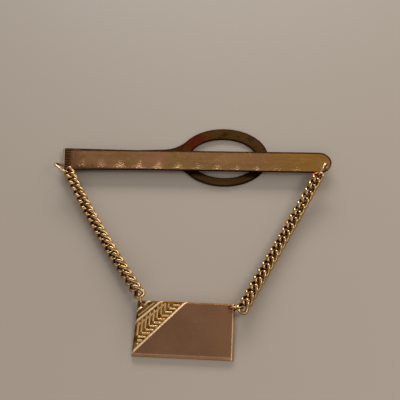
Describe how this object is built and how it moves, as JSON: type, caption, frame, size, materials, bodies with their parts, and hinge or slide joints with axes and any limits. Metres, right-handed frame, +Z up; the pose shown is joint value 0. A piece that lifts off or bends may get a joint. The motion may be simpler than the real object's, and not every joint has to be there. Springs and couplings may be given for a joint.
{
  "type": "tie clip",
  "caption": "Gold-tone tie clip: flat front bar with a back spring that ends in an oval loop, and a swag of curb chains carrying a small rectangular plate.",
  "frame": {"origin": "on the table under the middle of the clip as it lies on its back with the swag laid out", "axes": "+X along the bar from the fold to the round end, +Y from the plate towards the bar, +Z up from the table, out of the bar's front"},
  "size_m": [0.0608, 0.0538, 0.0042],
  "materials": {
    "bar_gold": "gold plate, satin",
    "spring_gold": "gold plate, worn",
    "chain_gold": "gold plate, bright",
    "plate_gold": "gold plate, satin"
  },
  "bodies": {
    "bar": {"bar": "bar_gold"},
    "back_spring": {"back_spring": "spring_gold"},
    "left_bar_ring": {"left_bar_ring": "chain_gold"},
    "right_bar_ring": {"right_bar_ring": "chain_gold"},
    "left_plate_ring": {"left_plate_ring": "chain_gold"},
    "right_plate_ring": {"right_plate_ring": "chain_gold"},
    "plate": {"plate": "plate_gold"},
    "left_link_01": {"left_link_01": "chain_gold"},
    "left_link_02": {"left_link_02": "chain_gold"},
    "left_link_03": {"left_link_03": "chain_gold"},
    "left_link_04": {"left_link_04": "chain_gold"},
    "left_link_05": {"left_link_05": "chain_gold"},
    "left_link_06": {"left_link_06": "chain_gold"},
    "left_link_07": {"left_link_07": "chain_gold"},
    "left_link_08": {"left_link_08": "chain_gold"},
    "left_link_09": {"left_link_09": "chain_gold"},
    "left_link_10": {"left_link_10": "chain_gold"},
    "left_link_11": {"left_link_11": "chain_gold"},
    "left_link_12": {"left_link_12": "chain_gold"},
    "left_link_13": {"left_link_13": "chain_gold"},
    "left_link_14": {"left_link_14": "chain_gold"},
    "left_link_15": {"left_link_15": "chain_gold"},
    "left_link_16": {"left_link_16": "chain_gold"},
    "left_link_17": {"left_link_17": "chain_gold"},
    "left_link_18": {"left_link_18": "chain_gold"},
    "left_link_19": {"left_link_19": "chain_gold"},
    "left_link_20": {"left_link_20": "chain_gold"},
    "right_link_01": {"right_link_01": "chain_gold"},
    "right_link_02": {"right_link_02": "chain_gold"},
    "right_link_03": {"right_link_03": "chain_gold"},
    "right_link_04": {"right_link_04": "chain_gold"},
    "right_link_05": {"right_link_05": "chain_gold"},
    "right_link_06": {"right_link_06": "chain_gold"},
    "right_link_07": {"right_link_07": "chain_gold"},
    "right_link_08": {"right_link_08": "chain_gold"},
    "right_link_09": {"right_link_09": "chain_gold"},
    "right_link_10": {"right_link_10": "chain_gold"},
    "right_link_11": {"right_link_11": "chain_gold"},
    "right_link_12": {"right_link_12": "chain_gold"},
    "right_link_13": {"right_link_13": "chain_gold"},
    "right_link_14": {"right_link_14": "chain_gold"},
    "right_link_15": {"right_link_15": "chain_gold"},
    "right_link_16": {"right_link_16": "chain_gold"},
    "right_link_17": {"right_link_17": "chain_gold"},
    "right_link_18": {"right_link_18": "chain_gold"},
    "right_link_19": {"right_link_19": "chain_gold"},
    "right_link_20": {"right_link_20": "chain_gold"}
  },
  "joints": [
    {"name": "back_spring_hinge", "type": "hinge", "parent": "bar", "child": "back_spring", "pos_m": [-0.02873, 0.01685, 0.00085], "axis": [-0.1736, 0.9848, 0], "range_deg": [0, 8], "stiffness_Nm_per_rad": 0.4},
    {"name": "left_bar_ring_swing", "type": "hinge", "parent": "bar", "child": "left_bar_ring", "pos_m": [-0.02807, 0.01448, 0.00105], "axis": [0.9997, 0.024, 0.0083], "range_deg": [-5, 8]},
    {"name": "right_bar_ring_swing", "type": "hinge", "parent": "bar", "child": "right_bar_ring", "pos_m": [0.02902, 0.01585, 0.00153], "axis": [0.9997, 0.024, 0.0083], "range_deg": [-5, 8]},
    {"name": "left_link_01_turn", "type": "hinge", "parent": "left_bar_ring", "child": "left_link_01", "pos_m": [-0.02726, 0.0131, 0.00216], "axis": [1, -0.0017, 0.0022], "range_deg": [-8, 8]},
    {"name": "right_link_01_turn", "type": "hinge", "parent": "right_bar_ring", "child": "right_link_01", "pos_m": [0.02746, 0.01301, 0.00229], "axis": [1, -0.0017, 0.0022], "range_deg": [-8, 8]},
    {"name": "left_link_02_turn", "type": "hinge", "parent": "left_link_01", "child": "left_link_02", "pos_m": [-0.02635, 0.0116, 0.0021], "axis": [1, -0.0024, 0.0023], "range_deg": [-8, 8]},
    {"name": "right_link_02_turn", "type": "hinge", "parent": "right_link_01", "child": "right_link_02", "pos_m": [0.02666, 0.01147, 0.00223], "axis": [1, -0.0024, 0.0023], "range_deg": [-8, 8]},
    {"name": "left_link_03_turn", "type": "hinge", "parent": "left_link_02", "child": "left_link_03", "pos_m": [-0.02544, 0.01012, 0.00195], "axis": [1, -0.0033, 0.0024], "range_deg": [-8, 8]},
    {"name": "right_link_03_turn", "type": "hinge", "parent": "right_link_02", "child": "right_link_03", "pos_m": [0.02586, 0.00995, 0.00207], "axis": [1, -0.0033, 0.0024], "range_deg": [-8, 8]},
    {"name": "left_link_04_turn", "type": "hinge", "parent": "left_link_03", "child": "left_link_04", "pos_m": [-0.02452, 0.00864, 0.00174], "axis": [1, -0.0044, 0.0021], "range_deg": [-8, 8]},
    {"name": "right_link_04_turn", "type": "hinge", "parent": "right_link_03", "child": "right_link_04", "pos_m": [0.02507, 0.00843, 0.00185], "axis": [1, -0.0044, 0.0021], "range_deg": [-8, 8]},
    {"name": "left_link_05_turn", "type": "hinge", "parent": "left_link_04", "child": "left_link_05", "pos_m": [-0.02359, 0.00717, 0.00153], "axis": [1, -0.0056, 0.0015], "range_deg": [-8, 8]},
    {"name": "right_link_05_turn", "type": "hinge", "parent": "right_link_04", "child": "right_link_05", "pos_m": [0.02429, 0.00691, 0.0016], "axis": [1, -0.0056, 0.0015], "range_deg": [-8, 8]},
    {"name": "left_link_06_turn", "type": "hinge", "parent": "left_link_05", "child": "left_link_06", "pos_m": [-0.02266, 0.00571, 0.00135], "axis": [1, -0.007, 0.0005], "range_deg": [-8, 8]},
    {"name": "right_link_06_turn", "type": "hinge", "parent": "right_link_05", "child": "right_link_06", "pos_m": [0.0235, 0.00538, 0.00137], "axis": [1, -0.007, 0.0005], "range_deg": [-8, 8]},
    {"name": "left_link_07_turn", "type": "hinge", "parent": "left_link_06", "child": "left_link_07", "pos_m": [-0.02171, 0.00424, 0.00122], "axis": [1, -0.0087, -0.0008], "range_deg": [-8, 8]},
    {"name": "right_link_07_turn", "type": "hinge", "parent": "right_link_06", "child": "right_link_07", "pos_m": [0.02272, 0.00385, 0.00119], "axis": [1, -0.0087, -0.0008], "range_deg": [-8, 8]},
    {"name": "left_link_08_turn", "type": "hinge", "parent": "left_link_07", "child": "left_link_08", "pos_m": [-0.02075, 0.00278, 0.00118], "axis": [0.9999, -0.0109, -0.0019], "range_deg": [-8, 8]},
    {"name": "right_link_08_turn", "type": "hinge", "parent": "right_link_07", "child": "right_link_08", "pos_m": [0.02193, 0.00232, 0.0011], "axis": [0.9999, -0.0109, -0.0019], "range_deg": [-8, 8]},
    {"name": "left_link_09_turn", "type": "hinge", "parent": "left_link_08", "child": "left_link_09", "pos_m": [-0.01978, 0.00132, 0.0012], "axis": [0.9999, -0.0134, -0.0029], "range_deg": [-8, 8]},
    {"name": "right_link_09_turn", "type": "hinge", "parent": "right_link_08", "child": "right_link_09", "pos_m": [0.02115, 0.00077, 0.00108], "axis": [0.9999, -0.0134, -0.0029], "range_deg": [-8, 8]},
    {"name": "left_link_10_turn", "type": "hinge", "parent": "left_link_09", "child": "left_link_10", "pos_m": [-0.0188, -0.00013, 0.00122], "axis": [0.9999, -0.0163, -0.0041], "range_deg": [-8, 8]},
    {"name": "right_link_10_turn", "type": "hinge", "parent": "right_link_09", "child": "right_link_10", "pos_m": [0.02037, -0.00077, 0.00106], "axis": [0.9999, -0.0163, -0.0041], "range_deg": [-8, 8]},
    {"name": "left_link_11_turn", "type": "hinge", "parent": "left_link_10", "child": "left_link_11", "pos_m": [-0.01781, -0.00157, 0.00123], "axis": [0.9998, -0.0197, -0.0052], "range_deg": [-8, 8]},
    {"name": "right_link_11_turn", "type": "hinge", "parent": "right_link_10", "child": "right_link_11", "pos_m": [0.01959, -0.00231, 0.00104], "axis": [0.9998, -0.0197, -0.0052], "range_deg": [-8, 8]},
    {"name": "left_link_12_turn", "type": "hinge", "parent": "left_link_11", "child": "left_link_12", "pos_m": [-0.01682, -0.00301, 0.00125], "axis": [0.9997, -0.0237, -0.0053], "range_deg": [-8, 8]},
    {"name": "right_link_12_turn", "type": "hinge", "parent": "right_link_11", "child": "right_link_12", "pos_m": [0.01881, -0.00386, 0.00106], "axis": [0.9997, -0.0237, -0.0053], "range_deg": [-8, 8]},
    {"name": "left_link_13_turn", "type": "hinge", "parent": "left_link_12", "child": "left_link_13", "pos_m": [-0.01581, -0.00444, 0.00126], "axis": [0.9996, -0.0283, -0.0053], "range_deg": [-8, 8]},
    {"name": "right_link_13_turn", "type": "hinge", "parent": "right_link_12", "child": "right_link_13", "pos_m": [0.01804, -0.0054, 0.00108], "axis": [0.9996, -0.0283, -0.0053], "range_deg": [-8, 8]},
    {"name": "left_link_14_turn", "type": "hinge", "parent": "left_link_13", "child": "left_link_14", "pos_m": [-0.0148, -0.00587, 0.00127], "axis": [0.9994, -0.0336, -0.0052], "range_deg": [-8, 8]},
    {"name": "right_link_14_turn", "type": "hinge", "parent": "right_link_13", "child": "right_link_14", "pos_m": [0.01727, -0.00695, 0.0011], "axis": [0.9994, -0.0336, -0.0052], "range_deg": [-8, 8]},
    {"name": "left_link_15_turn", "type": "hinge", "parent": "left_link_14", "child": "left_link_15", "pos_m": [-0.01378, -0.00729, 0.00128], "axis": [0.9992, -0.0399, -0.0052], "range_deg": [-8, 8]},
    {"name": "right_link_15_turn", "type": "hinge", "parent": "right_link_14", "child": "right_link_15", "pos_m": [0.0165, -0.0085, 0.00112], "axis": [0.9992, -0.0399, -0.0052], "range_deg": [-8, 8]},
    {"name": "left_link_16_turn", "type": "hinge", "parent": "left_link_15", "child": "left_link_16", "pos_m": [-0.01275, -0.0087, 0.00135], "axis": [0.9989, -0.0472, -0.0057], "range_deg": [-8, 8]},
    {"name": "right_link_16_turn", "type": "hinge", "parent": "right_link_15", "child": "right_link_16", "pos_m": [0.01574, -0.01005, 0.00119], "axis": [0.9989, -0.0472, -0.0057], "range_deg": [-8, 8]},
    {"name": "left_link_17_turn", "type": "hinge", "parent": "left_link_16", "child": "left_link_17", "pos_m": [-0.01171, -0.01011, 0.0015], "axis": [0.9984, -0.0558, -0.0072], "range_deg": [-8, 8]},
    {"name": "right_link_17_turn", "type": "hinge", "parent": "right_link_16", "child": "right_link_17", "pos_m": [0.01498, -0.0116, 0.00131], "axis": [0.9984, -0.0558, -0.0072], "range_deg": [-8, 8]},
    {"name": "left_link_18_turn", "type": "hinge", "parent": "left_link_17", "child": "left_link_18", "pos_m": [-0.01067, -0.0115, 0.0017], "axis": [0.9978, -0.066, -0.0096], "range_deg": [-8, 8]},
    {"name": "right_link_18_turn", "type": "hinge", "parent": "right_link_17", "child": "right_link_18", "pos_m": [0.01422, -0.01314, 0.00146], "axis": [0.9978, -0.066, -0.0096], "range_deg": [-8, 8]},
    {"name": "left_link_19_turn", "type": "hinge", "parent": "left_link_18", "child": "left_link_19", "pos_m": [-0.00962, -0.01289, 0.0019], "axis": [0.9969, -0.0781, -0.0126], "range_deg": [-8, 8]},
    {"name": "right_link_19_turn", "type": "hinge", "parent": "right_link_18", "child": "right_link_19", "pos_m": [0.01347, -0.01469, 0.00161], "axis": [0.9969, -0.0781, -0.0126], "range_deg": [-8, 8]},
    {"name": "left_link_20_turn", "type": "hinge", "parent": "left_link_19", "child": "left_link_20", "pos_m": [-0.00856, -0.01427, 0.00205], "axis": [0.9956, -0.0926, -0.0157], "range_deg": [-8, 8]},
    {"name": "right_link_20_turn", "type": "hinge", "parent": "right_link_19", "child": "right_link_20", "pos_m": [0.01271, -0.01625, 0.00171], "axis": [0.9956, -0.0926, -0.0157], "range_deg": [-8, 8]},
    {"name": "left_plate_ring_turn", "type": "hinge", "parent": "left_link_20", "child": "left_plate_ring", "pos_m": [-0.00748, -0.01565, 0.0021], "axis": [0.9938, -0.11, -0.018], "range_deg": [-10, 10]},
    {"name": "right_plate_ring_turn", "type": "hinge", "parent": "right_link_20", "child": "right_plate_ring", "pos_m": [0.01196, -0.0178, 0.00175], "axis": [0.9938, -0.11, -0.018], "range_deg": [-10, 10]},
    {"name": "plate_flip", "type": "hinge", "parent": "left_plate_ring", "child": "plate", "pos_m": [-0.0069, -0.01741, 0.00113], "axis": [1, 0, 0], "range_deg": [-10, 35]}
  ],
  "couplings": [
    {"joint": "right_bar_ring_swing", "follows": "left_bar_ring_swing", "ratio": 1},
    {"joint": "right_link_01_turn", "follows": "left_link_01_turn", "ratio": 1},
    {"joint": "right_link_02_turn", "follows": "left_link_02_turn", "ratio": 1},
    {"joint": "right_link_03_turn", "follows": "left_link_03_turn", "ratio": 1},
    {"joint": "right_link_04_turn", "follows": "left_link_04_turn", "ratio": 1},
    {"joint": "right_link_05_turn", "follows": "left_link_05_turn", "ratio": 1},
    {"joint": "right_link_06_turn", "follows": "left_link_06_turn", "ratio": 1},
    {"joint": "right_link_07_turn", "follows": "left_link_07_turn", "ratio": 1},
    {"joint": "right_link_08_turn", "follows": "left_link_08_turn", "ratio": 1},
    {"joint": "right_link_09_turn", "follows": "left_link_09_turn", "ratio": 1},
    {"joint": "right_link_10_turn", "follows": "left_link_10_turn", "ratio": 1},
    {"joint": "right_link_11_turn", "follows": "left_link_11_turn", "ratio": 1},
    {"joint": "right_link_12_turn", "follows": "left_link_12_turn", "ratio": 1},
    {"joint": "right_link_13_turn", "follows": "left_link_13_turn", "ratio": 1},
    {"joint": "right_link_14_turn", "follows": "left_link_14_turn", "ratio": 1},
    {"joint": "right_link_15_turn", "follows": "left_link_15_turn", "ratio": 1},
    {"joint": "right_link_16_turn", "follows": "left_link_16_turn", "ratio": 1},
    {"joint": "right_link_17_turn", "follows": "left_link_17_turn", "ratio": 1},
    {"joint": "right_link_18_turn", "follows": "left_link_18_turn", "ratio": 1},
    {"joint": "right_link_19_turn", "follows": "left_link_19_turn", "ratio": 1},
    {"joint": "right_link_20_turn", "follows": "left_link_20_turn", "ratio": 1},
    {"joint": "right_plate_ring_turn", "follows": "left_plate_ring_turn", "ratio": 1}
  ]
}
